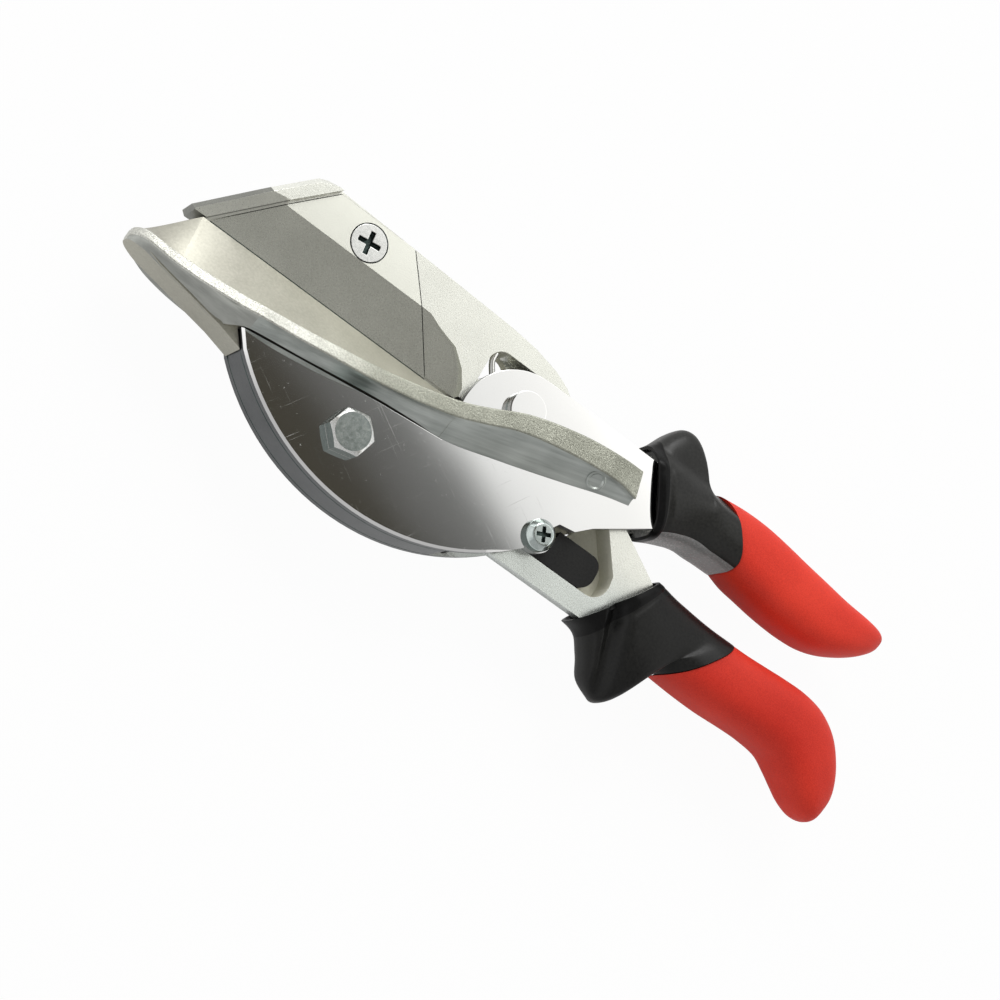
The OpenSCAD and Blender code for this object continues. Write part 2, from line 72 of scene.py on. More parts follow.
class Nodes:
    """A small helper that adds and links shader nodes."""

    def __init__(self, name):
        self.mat = bpy.data.materials.new(name)
        self.mat.use_nodes = True
        self.tree = self.mat.node_tree
        self.shader = self.tree.nodes["Principled BSDF"]
        self.coords = self.tree.nodes.new("ShaderNodeTexCoord").outputs["Object"]

    def link(self, a, b):
        self.tree.links.new(a, b)

    def mapped(self, scale, turn=0.0):
        turned = self.tree.nodes.new("ShaderNodeMapping")
        turned.inputs["Rotation"].default_value = (0, 0, math.radians(turn))
        self.link(self.coords, turned.inputs["Vector"])
        scaled = self.tree.nodes.new("ShaderNodeMapping")
        scaled.inputs["Scale"].default_value = scale if hasattr(scale, "__len__") else (scale,) * 3
        self.link(turned.outputs["Vector"], scaled.inputs["Vector"])
        return scaled.outputs["Vector"]

    def noise(self, scale, detail=3.0, rough=0.55, turn=0.0):
        """Noise with a scale in cells per metre, alike or per axis."""
        n = self.tree.nodes.new("ShaderNodeTexNoise")
        n.inputs["Scale"].default_value = 1.0
        n.inputs["Detail"].default_value = detail
        n.inputs["Roughness"].default_value = rough
        self.link(self.mapped(scale, turn), n.inputs["Vector"])
        return n.outputs["Fac"]

    def ramp(self, value, *stops):
        """Colour or grey ramp from (position, colour or grey) stops."""
        r = self.tree.nodes.new("ShaderNodeValToRGB")
        elements = r.color_ramp.elements
        while len(elements) < len(stops):
            elements.new(0.5)
        for e, (p, c) in zip(elements, stops):
            e.position = p
            e.color = (*c, 1) if hasattr(c, "__len__") else (c, c, c, 1)
        self.link(value, r.inputs["Fac"])
        return r.outputs["Color"]

    def blend(self, a, b, share):
        """Mix of two values, with the share of the second."""
        m = self.tree.nodes.new("ShaderNodeMix")
        m.inputs["Factor"].default_value = share
        self.link(a, m.inputs["A"])
        self.link(b, m.inputs["B"])
        return m.outputs["Result"]

    def most(self, a, b):
        m = self.tree.nodes.new("ShaderNodeMath")
        m.operation = "MAXIMUM"
        self.link(a, m.inputs[0])
        self.link(b, m.inputs[1])
        return m.outputs["Value"]

    def faded(self, colour, axis, start, end, tint):
        """A colour that takes on a tint along an axis, from start to end in millimetres from the pivot."""
        parts = self.tree.nodes.new("ShaderNodeSeparateXYZ")
        self.link(self.coords, parts.inputs[0])
        place = self.tree.nodes.new("ShaderNodeMapRange")
        place.interpolation_type = "SMOOTHSTEP"
        middle = PIVOT["XYZ".index(axis)]
        place.inputs["From Min"].default_value = middle + start * MM
        place.inputs["From Max"].default_value = middle + end * MM
        self.link(parts.outputs[axis], place.inputs["Value"])
        mix = self.tree.nodes.new("ShaderNodeMix")
        mix.data_type = "RGBA"
        mix.blend_type = "MULTIPLY"
        self.link(place.outputs["Result"], mix.inputs["Factor"])
        first, second = [i for i in mix.inputs if i.type == "RGBA"]
        self.link(colour, first)
        second.default_value = (*tint, 1)
        return [o for o in mix.outputs if o.type == "RGBA"][0]

    def bump(self, height, strength, depth):
        b = self.tree.nodes.new("ShaderNodeBump")
        b.inputs["Strength"].default_value = strength
        b.inputs["Distance"].default_value = depth
        self.link(height, b.inputs["Height"])
        self.link(b.outputs["Normal"], self.shader.inputs["Normal"])

    def set(self, **values):
        for k, v in values.items():
            self.shader.inputs[k.replace("_", " ")].default_value = v


def metal(name, dark, bright, rough, grain, bump=0.15, depth=0.00005, blotch=90, turn=0.0, fade=None):
    """Metal with a fine grain and a slow change of tone, dark and bright being its two tones."""
    n = Nodes(name)
    fine = n.noise(grain, 4.0, 0.7, turn)
    slow = n.noise(blotch, 2.0)
    tone = n.ramp(n.blend(fine, slow, 0.35), (0.36, dark), (0.64, bright))
    n.link(n.faded(tone, *fade) if fade else tone, n.shader.inputs["Base Color"])
    n.link(n.ramp(fine, (0.3, rough[0]), (0.7, rough[1])), n.shader.inputs["Roughness"])
    n.bump(fine, bump, depth)
    n.set(Metallic=1.0)
    return n.mat


def chrome():
    """Mirror plate with fine hairlines, specks and a faint ripple."""
    n = Nodes("mirror_chrome")
    lines = n.most(n.ramp(n.noise((2600, 45, 45), 2.0, 0.6, 33), (0.66, 0.0), (0.80, 0.5)),
                   n.ramp(n.noise((2400, 55, 55), 2.0, 0.6, -58), (0.68, 0.0), (0.82, 0.4)))
    specks = n.ramp(n.noise(1500, 3.0, 0.7), (0.66, 0.0), (0.84, 0.9))
    marks = n.most(lines, specks)
    ripple = n.noise(30, 1.0)
    n.link(n.ramp(marks, (0.0, 0.05), (1.0, 0.34)), n.shader.inputs["Roughness"])
    tone = n.ramp(ripple, (0.3, (0.80, 0.795, 0.785)), (0.7, (0.86, 0.855, 0.845)))
    n.link(tone, n.shader.inputs["Base Color"])
    n.bump(n.blend(ripple, marks, 0.03), 0.25, 0.0001)
    n.set(Metallic=1.0)
    return n.mat


def plastic(name, dark, bright, rough, grain, bump, depth, specular=0.5, fade=None):
    """Dipped or moulded plastic with a fine granular skin."""
    n = Nodes(name)
    fine = n.noise(grain, 3.0, 0.65)
    slow = n.noise(45, 2.0)
    tone = n.ramp(n.blend(fine, slow, 0.4), (0.36, dark), (0.64, bright))
    n.link(n.faded(tone, *fade) if fade else tone, n.shader.inputs["Base Color"])
    n.link(n.ramp(fine, (0.3, rough[0]), (0.7, rough[1])), n.shader.inputs["Roughness"])
    n.bump(fine, bump, depth)
    n.shader.inputs["Specular IOR Level"].default_value = specular
    return n.mat


MATS = {
    "plate": chrome(),
    # painted shade: steel darkened for the plates' cut edges and the keel between them
    "plate_edge_shade": metal("edge_painted_shade", (0.09, 0.095, 0.098), (0.16, 0.166, 0.17), (0.28, 0.42), 2200, 0.3),
    "casting": metal("cast_satin", (0.42, 0.41, 0.35), (0.54, 0.53, 0.46), (0.40, 0.50), 1500, 0.10),
    # painted shade: the rim darkens from 70 to 30 mm in front of the pivot, towards the rear
    "rim": metal("cast_rim", (0.40, 0.40, 0.36), (0.84, 0.84, 0.78), (0.32, 0.5), 2300, 0.9, 0.00018,
                 fade=("X", -70, -30, (0.64, 0.65, 0.60))),
    "under": metal("cast_streaked", (0.36, 0.37, 0.345), (0.52, 0.53, 0.495), (0.28, 0.42),
                   (80, 800, 800), 0.2, 0.0001),
    "wing_side": metal("wing_side", (0.32, 0.345, 0.325), (0.60, 0.63, 0.60), (0.28, 0.40),
                       (25, 420, 420), 0.2, 0.0001, turn=-16),
    "lever": metal("zinc_grain", (0.79, 0.795, 0.735), (0.91, 0.915, 0.85), (0.22, 0.34), 3600, 0.22, 0.00005,
                   fade=("Y", -14, -28, (0.86, 0.90, 0.93))),
    # painted light: a pale tone put on the floor and walls of the lever's slot and the window's wall, where they
    # lie in shade
    "painted_light": plastic("pale_painted_light", (0.72, 0.71, 0.60), (0.82, 0.81, 0.70), (0.5, 0.65), 1400, 0.1, 0.00005,
                      0.2),
    "blade": metal("blade_flat", (0.88, 0.885, 0.81), (0.97, 0.975, 0.89), (0.20, 0.28), 3600, 0.12, 0.00003),
    "cap": metal("ground_cap", (0.60, 0.605, 0.55), (0.80, 0.805, 0.73), (0.26, 0.36), 3600, 0.3, 0.00005),
    # painted shade: a dark copy of the cap's metal for its chamfered side
    "cap_side_shade": metal("cap_side_shade", (0.17, 0.172, 0.158), (0.26, 0.262, 0.24), (0.28, 0.38), 3600, 0.3,
                      0.00005),
    "bevel": metal("ground_bevel", (0.52, 0.525, 0.47), (0.68, 0.685, 0.615), (0.24, 0.34), 3600, 0.2,
                   0.00004),
    "bolt": metal("blue_zinc", (0.42, 0.48, 0.465), (0.58, 0.63, 0.61), (0.14, 0.19), 1100, 0.06, 0.00003),
    "bolt_side": metal("shaded_zinc", (0.17, 0.215, 0.205), (0.27, 0.32, 0.305), (0.2, 0.3), 1100, 0.06,
                       0.00003),
    "screw": metal("white_zinc", (0.72, 0.73, 0.71), (0.88, 0.88, 0.86), (0.2, 0.32), 1600, 0.1),
    # painted shade: a near-black metal put where shade falls, in gaps, screw crosses, rounded keel edges and along
    # the cutting edge
    "painted_shade": metal("dark_painted_shade", (0.03, 0.045, 0.042), (0.10, 0.13, 0.12), (0.3, 0.5), 1600, 0.2),
    "steel": metal("plain_steel", (0.45, 0.45, 0.45), (0.6, 0.6, 0.6), (0.35, 0.5), 1200),
    "wire": metal("bright_wire", (0.7, 0.7, 0.67), (0.86, 0.86, 0.83), (0.15, 0.25), 1500, 0.05),
    "bush": metal("brass_bush", (0.6, 0.45, 0.2), (0.75, 0.6, 0.32), (0.25, 0.4), 1200, 0.1),
    "collar": plastic("black_collar", (0.010, 0.010, 0.009), (0.024, 0.024, 0.022), (0.30, 0.42),
                      1500, 0.12, 0.00006, 0.28),
    # painted shade: a darker, less glossy black for the collars' lip and mouth
    "lip": plastic("lip_painted_shade", (0.003, 0.003, 0.003), (0.007, 0.007, 0.007), (0.30, 0.40),
                   1500, 0.1, 0.00006, 0.12),
    "collar_low": plastic("black_collar_low", (0.005, 0.005, 0.005), (0.013, 0.013, 0.012), (0.30, 0.42),
                          1500, 0.12, 0.00006, 0.2),
    # painted reflection: a lighter grey for the upper collar's underside, standing in for the floor it mirrors
    "collar_under_reflection": plastic("underside_painted_reflection", (0.20, 0.20, 0.20), (0.30, 0.30, 0.295), (0.2, 0.3),
                            1500, 0.12, 0.00006, 0.8),
    # painted shade: the red darkens below the pivot, on the lower grip
    "sleeve": plastic("red_sleeve", (0.62, 0.024, 0.012), (0.82, 0.052, 0.026), (0.46, 0.62),
                      3200, 0.5, 0.00010, 0.25, fade=("Y", 0, -16, (0.90, 0.84, 0.84))),
    "slider": plastic("black_slider", (0.008, 0.008, 0.008), (0.02, 0.02, 0.019), (0.45, 0.6),
                      2000, 0.2, 0.00006, 0.2),
    "insert": plastic("nylon_insert", (0.70, 0.68, 0.60), (0.82, 0.80, 0.73), (0.4, 0.55),
                      1400, 0.1, 0.00005),
}

# Meshes. Flat faces that meet at an angle between these two keep a crisp line, and past the second one
# their edge is rounded
CRISP_FROM, SHARP_FROM = math.radians(6), math.radians(32)
SAME_PLANE = math.radians(1.0)
SAME_PLACE = 1e-6
BEVEL_PROFILE = 0.6


def new_piece(name, bm, mats, smooth_deg=35.0):
    """Makes an object of a bmesh in the row frame, smooth where faces meet at a small angle."""
    mesh = bpy.data.meshes.new(name)
    bmesh.ops.recalc_face_normals(bm, faces=bm.faces[:])
    for f in bm.faces:
        f.smooth = True
    for e in bm.edges:
        if len(e.link_faces) == 2 and e.calc_face_angle(0) > math.radians(smooth_deg):
            e.smooth = False
    bm.to_mesh(mesh)
    bm.free()
    for m in mats:
        mesh.materials.append(MATS[m])
    obj = bpy.data.objects.new(name, mesh)
    bpy.context.scene.collection.objects.link(obj)
    even = obj.modifiers.new("even_normals", "WEIGHTED_NORMAL")
    even.keep_sharp = True
    even.weight = 100
    return obj


def stand_for(obj, node):
    """The piece takes the place and the body of a CAD node."""
    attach(obj, BODY_OF[node])
    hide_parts(node)
    return obj


def from_pivot(v):
    """A point in millimetres from the pivot."""
    return (v - PIVOT) / MM


def merge_flat(bm):
    """Does away with doubled points and with edges inside one plane."""
    bmesh.ops.remove_doubles(bm, verts=bm.verts[:], dist=SAME_PLACE)
    bmesh.ops.dissolve_limit(bm, angle_limit=SAME_PLANE, verts=bm.verts[:], edges=bm.edges[:])


def dressed(node, passes, mats=None, paint=None, before=None):
    """A copy of a node's solid with its sharp edges rounded, in passes of (width, segments, test of an edge).

    A width that Blender would hold back beside a sharp corner is kept by a fourth entry, "full".
    Faces that meet at a small angle on the flat sides keep a crisp line. Paint picks the material of a face.
    """
    bm = bmesh.new()
    bm.from_mesh(NODES[node].data)
    merge_flat(bm)
    if before:
        before(bm)
    for e in bm.edges:
        if len(e.link_faces) == 2 and CRISP_FROM < e.calc_face_angle(0) < SHARP_FROM:
            if all(abs(f.normal.z) > 0.5 for f in e.link_faces):
                e.smooth = False
    bm.normal_update()
    for width, segments, test, *full in passes:
        sharp = [e for e in bm.edges if len(e.link_faces) == 2 and e.calc_face_angle(0) > SHARP_FROM
                 and test(from_pivot((e.verts[0].co + e.verts[1].co) / 2))]
        bmesh.ops.bevel(bm, geom=sharp, offset=width * MM, segments=segments, profile=BEVEL_PROFILE,
                        affect="EDGES", clamp_overlap=not full)
    bm.normal_update()
    if paint:
        for f in bm.faces:
            f.material_index = paint(from_pivot(f.calc_center_median()), f.normal)
    return stand_for(new_piece(node + "_dressed", bm, mats or [SLOT_OF[node]]), node)


def smooth_list(rows, parts):
    """Catmull-Rom points through rows of numbers, parts steps between each two."""
    out = []
    last = len(rows) - 1
    for i in range(last):
        p0, p1, p2, p3 = (rows[max(i - 1, 0)], rows[i], rows[i + 1], rows[min(i + 2, last)])
        for k in range(parts):
            t = k / parts
            out.append([0.5 * (2 * b + (c - a) * t + (2 * a - 5 * b + 4 * c - d) * t * t
                               + (3 * b - a - 3 * c + d) * t ** 3) for a, b, c, d in zip(p0, p1, p2, p3)])
    out.append(list(rows[last]))
    return out


def bridge(bm, rings, mat_of=lambda j: 0):
    """Quads between rings of points, with both ends left open. Gives the vertices of each ring."""
    verts = [[bm.verts.new(p) for p in r] for r in rings]
    n = len(verts[0])
    for a, b in zip(verts, verts[1:]):
        for j in range(n):
            f = bm.faces.new((a[j], b[j], b[(j + 1) % n], a[(j + 1) % n]))
            f.material_index = mat_of(j)
    return verts


def cap(bm, ring, mat=0):
    """Closes a ring of vertices by a fan round its middle."""
    middle = bm.verts.new(sum((v.co for v in ring), Vector()) / len(ring))
    for a, b in zip(ring, ring[1:] + ring[:1]):
        bm.faces.new((a, b, middle)).material_index = mat


# Grips: top x, top y, bottom x, bottom y, share of the half thickness, bulge toward the end
UPPER_COLLAR = [(33.4, 14.2, 44.2, -6.2, 0.93, 0), (34.8, 16.2, 45.6, -5.5, 1, 0.3),
    (37, 20.4, 47.8, -4.4, 0.97, 0.5), (39.6, 23.4, 50.2, -3.4, 0.95, 0.8),
    (42.8, 23.8, 52.8, -2.4, 0.94, 1.1), (45.8, 21.4, 55.4, -1.8, 0.95, 1.6),
    (48.2, 16.8, 58.4, -1.6, 0.97, 2.2), (51.2, 14.4, 62, -1.3, 0.98, 2.6), (55.2, 14.7, 66.2, -1.3, 0.98, 3)]
UPPER_SLEEVE = [(55.5, 14.7, 66.5, -1.3, 0.98, 3), (62.5, 15.5, 71, -2.6, 1, 2.4),
    (69.5, 15.6, 76, -3.2, 1, 1.8), (76.5, 15, 81.5, -3.8, 1, 1.2), (83.5, 14.1, 87, -4.1, 1, 0.8),
    (91, 13.3, 92, -4.1, 0.98, 0.5), (99, 12.4, 97.5, -3.5, 0.95, 0.3), (106.9, 12, 103, -1.7, 0.88, 0),
    (111.4, 11.6, 108.7, 1.5, 0.7, 0), (113.9, 10.8, 112.2, 4.5, 0.45, 0), (114.9, 9.4, 114.3, 7, 0.16, 0)]
LOWER_COLLAR = [(52.4, -13.2, 37.7, -33.7, 0.93, 0), (54, -13.4, 41.8, -34.7, 0.97, 0),
    (56, -13.7, 45.2, -39.2, 0.95, 0), (59, -14, 47.9, -44.1, 0.93, 0), (62, -14.2, 52.6, -46.6, 0.92, 0),
    (65, -14.4, 55.6, -45.2, 0.88, 0.5), (68, -14.6, 57.2, -40.6, 0.84, 1),
    (71, -14.8, 58.4, -35.4, 0.84, 1.5), (74, -15, 60.2, -31.6, 0.9, 2), (76.6, -15.1, 63.8, -32.2, 0.98, 2)]
LOWER_SLEEVE = [(76.9, -15.1, 64.1, -32.3, 0.98, 2), (82, -15, 72, -32.7, 1, 1.6),
    (88, -14.6, 80, -32.8, 1, 1), (94, -14.2, 88, -32.4, 1, 0.5), (100, -14.1, 94, -32.3, 1, 0),
    (105.2, -14.8, 100.2, -33, 0.98, 0), (109.2, -16.3, 104.4, -35.2, 0.95, 0),
    (112.8, -18.7, 108, -37.5, 0.91, 0), (115.8, -22, 111.4, -39.6, 0.84, 0),
    (118.4, -26, 115.2, -40.9, 0.72, 0), (120.4, -30.4, 118.4, -40.6, 0.5, 0),
    (121.3, -34.4, 120.4, -38.6, 0.16, 0)]
# Faces that meet at less than this are smooth on the round pieces, and on the cast ones
ROUND_DEG, CAST_DEG = 50, 40
COLLAR_HALF = 10.0
SLEEVE_HALF = 9.5
SLEEVE_POWER = 2.7
OVAL_POINTS = 120
ROW_STEPS = 6
# Collar sections: how boxy the top and the bottom are at the front, and grooves pressed into both sides,
# each from x, y to x, y, with its half width and its depth
UPPER_FORM = {"powers": (3.8, 3.3), "grooves": [((38.0, 9.5), (52.0, 11.0), 2.6, 0.05)]}
LOWER_FORM = {"powers": (3.0, 2.5), "grooves": [((44.5, -26.0), (51.5, -46.0), 2.0, 0.36)]}
PLAIN_FORM = {"powers": (SLEEVE_POWER, SLEEVE_POWER), "grooves": []}
# The thumb knob: it narrows above this height, over this height, by this share
KNOB_FROM, KNOB_OVER, KNOB_SHARE = 9.5, 5.5, 0.34
# Steps round the oval that make up the underside, which on the upper collar takes a painted reflection
PALE_STEPS = range(47, 73)
# The line behind a collar's lip: its row, width in rows and depth as a share, and the rings up to the lip's end,
# which take the lip's painted shade
LIP_AT, LIP_WIDTH, LIP_DEPTH, LIP_STEPS = 1.25, 0.30, 0.05, 9
# The open mouth, as a share of the first section, and how far it goes in
MOUTH_SHARE, MOUTH_DEPTH = 0.93, 1.2


def oval(row, half, powers):
    """One slanted oval section of a grip, with a power for its upper and one for its lower half."""
    xt, yt, xb, yb, share, bulge = row
    points = []
    for j in range(OVAL_POINTS):
        a = 2 * math.pi * j / OVAL_POINTS
        power = powers[0] if math.cos(a) > 0 else powers[1]
        c = math.copysign(abs(math.cos(a)) ** (2 / power), math.cos(a))
        s = math.copysign(abs(math.sin(a)) ** (2 / power), math.sin(a))
        points.append(Vector(((xt + xb) / 2 + (xt - xb) / 2 * c + bulge * s * s,
                              (yt + yb) / 2 + (yt - yb) / 2 * c, share * half * s)))
    return points


def pressed(p, grooves):
    """A point of a grip's side, drawn in where a groove passes."""
    for start, end, width, depth in grooves:
        a, b, q = Vector(start), Vector(end), Vector((p.x, p.y))
        t = min(max((q - a).dot(b - a) / (b - a).length_squared, 0.0), 1.0)
        far = (q - a - (b - a) * t).length
        p.z *= 1 - depth * math.exp(-(far / width) ** 2)
    rise = min(max((p.y - KNOB_FROM) / KNOB_OVER, 0.0), 1.0)
    if grooves:
        p.z *= 1 - KNOB_SHARE * rise * rise * (3 - 2 * rise)
    return p


def grip(node, rows, half, form, mats=None, mouth=False):
    """A collar or sleeve; a collar has a lip round an open mouth, and ends in a plain sleeve's section.

    Its materials are those of the side, the lip and mouth in painted shade, and the underside, which may be a
    painted reflection.
    """
    bm = bmesh.new()
    fine = smooth_list(rows, ROW_STEPS)
    rings = []
    for i, row in enumerate(fine):
        f = (i / (len(fine) - 1)) ** 2
        if mouth:
            row[4] *= 1 - LIP_DEPTH * math.exp(-((i / ROW_STEPS - LIP_AT) / LIP_WIDTH) ** 2)
        powers = [p + (SLEEVE_POWER - p) * f for p in form["powers"]]
        rings.append([pressed(p, form["grooves"]) for p in oval(row, half, powers)])
    if mouth:
        middle = sum(rings[0], Vector()) / OVAL_POINTS
        inward = (sum(rings[-1], Vector()) / OVAL_POINTS - middle).normalized() * MOUTH_DEPTH
        inner = [middle + (p - middle) * MOUTH_SHARE for p in rings[0]]
        rings = [[p + inward for p in inner], inner] + rings
    verts = bridge(bm, [[at(*p) for p in r] for r in rings])
    cap(bm, verts[0][::-1])
    cap(bm, verts[-1])
    if mouth:
        for i, f in enumerate(bm.faces):
            f.material_index = 1 if i < LIP_STEPS * OVAL_POINTS else 2 if i % OVAL_POINTS in PALE_STEPS else 0
    return stand_for(new_piece(node + "_skin", bm, mats or [SLOT_OF[node]], ROUND_DEG), node)


grip("upper_collar", UPPER_COLLAR, COLLAR_HALF, UPPER_FORM, ["collar", "lip", "collar_under_reflection"], True)
grip("upper_grip", UPPER_SLEEVE, SLEEVE_HALF, PLAIN_FORM)
grip("lower_collar", LOWER_COLLAR, COLLAR_HALF, LOWER_FORM, ["collar_low", "lip", "collar_low"], True)
grip("lower_grip", LOWER_SLEEVE, SLEEVE_HALF, PLAIN_FORM)

# Mitre table: position along the jaw, then the value there, in millimetres from the pivot
RIM_HALF = [(-99.4, 2.2), (-98.8, 4), (-97.4, 5.9), (-94.6, 7.8), (-90, 9.5), (-82, 11.4), (-73, 13),
            (-65, 14.2), (-57, 14.8), (-49, 14.8), (-41, 14.1), (-34, 13), (-28, 12.3), (-22, 11.8),
            (-15, 11.5), (-8, 11.3), (0, 11.2), (9, 11), (18, 10.8), (29, 10.4), (34.6, 10)]
RIM_Y = [(-99.4, -18.5), (-97.4, -18.4), (-94.6, -18.9), (-90, -19.7), (-82, -20.1), (-73, -19.9),
         (-65, -19.2), (-57, -18.4), (-49, -17.2), (-41, -15.8), (-34, -14.2), (-28, -12.7), (-22, -11),
         (-15, -8.8), (-8, -5.6), (0, -1.6), (9, 1.3), (18, 3.3), (24, 4.1), (29, 4.5), (34.6, 4.7)]
BAND = [(-99.4, 2), (-94.6, 2.2), (-88, 2.5), (-70, 2.8), (-40, 3.4), (-15, 4), (0, 4.8), (18, 5.7),
        (29, 5.8), (34.6, 6.8)]
UNDER_Y = [(-99.4, -21.4), (-97.4, -21.8), (-90, -23.2), (-82, -24.6), (-73, -26), (-67.8, -24.2),
           (-52.6, -22.3), (-31.8, -19.5), (-14.2, -17.8), (0, -14), (18, -8.4), (29, -4.8), (34.6, -3.4)]
TOP_Y = [(-99.4, -18.3), (-98.8, -17.9), (-97.4, -17), (-94.6, -14.4), (-90, -9.4), (-88.05, -7.25),
         (-88, -7.2), (-15, -7.2), (-8, -4.6), (0, -0.6), (18, 4.2), (29, 5.2), (34.6, 5.4)]
TOP_HALF = [(-99.4, 0.5), (-98.8, 0.8), (-97.4, 1.6), (-94.6, 2.6), (-90, 3.7), (-88, 4), (-15, 4), (-8, 7.6),
            (34.6, 7.8)]
# Height of the open joint over the plates
TABLE_GAP = [(-99.4, 0.0), (-69, 0.0), (-66, 0.35), (-40, 0.5), (-22, 0.4), (-15, 0.0), (34.6, 0.0)]
# Lean of the rim's band, and depth of the hollow under it, as shares
RIM_TILT = [(-99.4, 0.15), (-92, 0.32), (-60, 0.32), (-40, 0.15), (-25, 0), (34.6, 0)]
HOLLOW = [(-99.4, 0.38), (-68, 0.38), (-62, 0.25), (34.6, 0.25)]
HOLLOW_MOST = 2.8
# Roundings of the rim: outward, over and under its upper edge, and at its lower edge
EDGE_OUT, EDGE_RISE, EDGE_DROP, EDGE_LOW = 0.4, 0.2, 0.5, 0.45
# Half width of the keel under the nose, and where it widens to the plates' outer faces, over which length
KEEL_HALF, KEEL_WIDENS_FROM, KEEL_WIDENS_OVER = 4.6, -72.0, 4.0
PLATE_IN, PLATE_OUT, PLATE_FIT = 4.5, 7.0, 0.05
WING_IN = PLATE_OUT + PLATE_FIT
WING_TONE_FROM = -66.0
WING_FROM = -15.0
WING_END = 34.6
WING_LEAN = 0.24
WING_LEAN_FROM = 22.0
# The nose's tip, and the length after it with finer steps
NOSE, NOSE_LENGTH, NOSE_STEPS = -99.4, 4.8, 12
LAND_FROM = -88.0
SLOPE_STEPS = 4
SLOPE_SAG = 0.25
# Step lengths along the nose, the land and the wings
NOSE_STEP, LAND_STEP, WING_STEP = 1.3, 1.5, 1.4
# The insert's groove in the land: from x, to x, half width, depth
GROOVE = (-87.05, -19.95, 3.05, 3.05)


def along(table, x):
    """Smooth value of a table at x, with no overshoot between its points."""
    i = max(k for k in range(len(table) - 1) if table[k][0] <= x or k == 0)
    slopes = [(b[1] - a[1]) / (b[0] - a[0]) for a, b in zip(table, table[1:])]

    def tangent(k):
        if k == 0 or k == len(slopes):
            return slopes[min(k, len(slopes) - 1)]
        a, b = slopes[k - 1], slopes[k]
        return 0.0 if a * b <= 0 else 2 * a * b / (a + b)

    (x0, y0), (x1, y1) = table[i], table[i + 1]
    h = x1 - x0
    t = min(max((x - x0) / h, 0.0), 1.0)
    return (y0 * (1 + 2 * t) * (1 - t) ** 2 + tangent(i) * h * t * (1 - t) ** 2
            + y1 * t * t * (3 - 2 * t) + tangent(i + 1) * h * t * t * (t - 1))


def table_half(x, inner=None):
    """Half section at x as (z, y, zone), from the land, or from an inner wall, down to the underside."""
    w, yr, h, yu = along(RIM_HALF, x), along(RIM_Y, x), along(BAND, x), along(UNDER_Y, x)
    t, l = along(TOP_Y, x), along(TOP_HALF, x)
    widened = min(max((x - KEEL_WIDENS_FROM) / KEEL_WIDENS_OVER, 0.0), 1.0)
    k = min(w * 0.6, KEEL_HALF + (WING_IN - KEEL_HALF) * widened)
    edge = min(EDGE_OUT, w * 0.25)
    tilt = along(RIM_TILT, x) * h
    pts = []
    if inner is None:
        groove = min(GROOVE[2], l * 0.7)
        deep = GROOVE[3] if GROOVE[0] < x < GROOVE[1] else 0.02
        pts = [(groove, t - deep, 0), (groove, t, 0), (l - min(0.35, l * 0.25), t, 0)]
    else:
        f = max((inner - l) / (w - tilt - edge - l), 0.0)
        l, t = inner, t + (yr + EDGE_RISE - t) * f
        k = inner
    for i in range(SLOPE_STEPS + 1):
        f = i / SLOPE_STEPS
        sag = SLOPE_SAG * math.sin(math.pi * f) * min(1, w / 12)
        pts.append((l + (w - tilt - edge - l) * f, (t - 0.15) + (yr + EDGE_RISE - t + 0.15) * f - sag, 0))
    for a in (30, 60, 90):
        pts.append((w - tilt - edge + edge * math.sin(math.radians(a)),
                    yr + EDGE_RISE - EDGE_DROP * (1 - math.cos(math.radians(a))), 1))
    pts.append((w - tilt * 0.5, yr - h * 0.5, 1))
    for a in (90, 60, 30, 0):
        pts.append((w - edge + edge * math.sin(math.radians(a)),
                    yr - h + EDGE_LOW * (1 - math.cos(math.radians(a))), 1))
    hollow = min(HOLLOW_MOST, (w - k) * along(HOLLOW, x))
    gap = along(TABLE_GAP, x) if inner is None else 0.0
    for f in (0.2, 0.4, 0.6, 0.8):
        pts.append((w - edge + (k - w + edge) * f,
                    yr - h + (yu + gap - yr + h) * f + hollow * math.sin(math.pi * f), 2))
    pts.append((k, yu + gap, 2))
    return pts


def rim_faces(half, closed=False):
    """Gives the zone of each step along a section: slope, rim or underside.

    A closed section has a plain flat bottom.
    """
    zones = [r for _, _, r in half]

    def zone(j):
        if closed and j == len(zones) // 2 - 1:
            return 0
        a, b = zones[j % len(zones)], zones[(j + 1) % len(zones)]
        return 2 if 2 in (a, b) else a * b
    return zone


def steps(x0, x1, length):
    """Evenly spaced places from x0 to x1, about a length apart."""
    count = max(1, round((x1 - x0) / length))
    return [x0 + (x1 - x0) * i / count for i in range(count + 1)]


def table_front():
    """The boat in front of the pivot, in one closed mesh."""
    xs = [NOSE + NOSE_LENGTH * (i / NOSE_STEPS) ** 2 for i in range(NOSE_STEPS)]
    xs += steps(NOSE + NOSE_LENGTH, LAND_FROM, NOSE_STEP) + steps(LAND_FROM, GROOVE[0], NOSE_STEP)[1:]
    xs += steps(GROOVE[0] + 0.001, GROOVE[1], LAND_STEP) + steps(GROOVE[1] + 0.001, WING_FROM, LAND_STEP)
    bm = bmesh.new()
    halves = [table_half(x) for x in xs]
    rings = [[at(x, y, z) for z, y, _ in h] + [at(x, y, -z) for z, y, _ in h[::-1]]
             for x, h in zip(xs, halves)]
    mirrored = halves[0] + halves[0][::-1]
    verts = bridge(bm, rings, rim_faces(mirrored, True))
    cap(bm, verts[0][::-1], 1)
    for f in bm.faces:
        if f.material_index == 2 and from_pivot(f.calc_center_median()).x > WING_TONE_FROM:
            f.material_index = 3
    for e in bm.edges:
        if all(abs(from_pivot(v.co).x - LAND_FROM) < 0.01 for v in e.verts):
            e.smooth = any(f.material_index for f in e.link_faces)
    ends = [e for e in bm.edges if len(e.link_faces) == 1]
    bmesh.ops.triangle_fill(bm, edges=ends, use_dissolve=False, use_beauty=True)
    return new_piece("mitre_table_body", bm, ["casting", "rim", "under", "wing_side"], CAST_DEG)


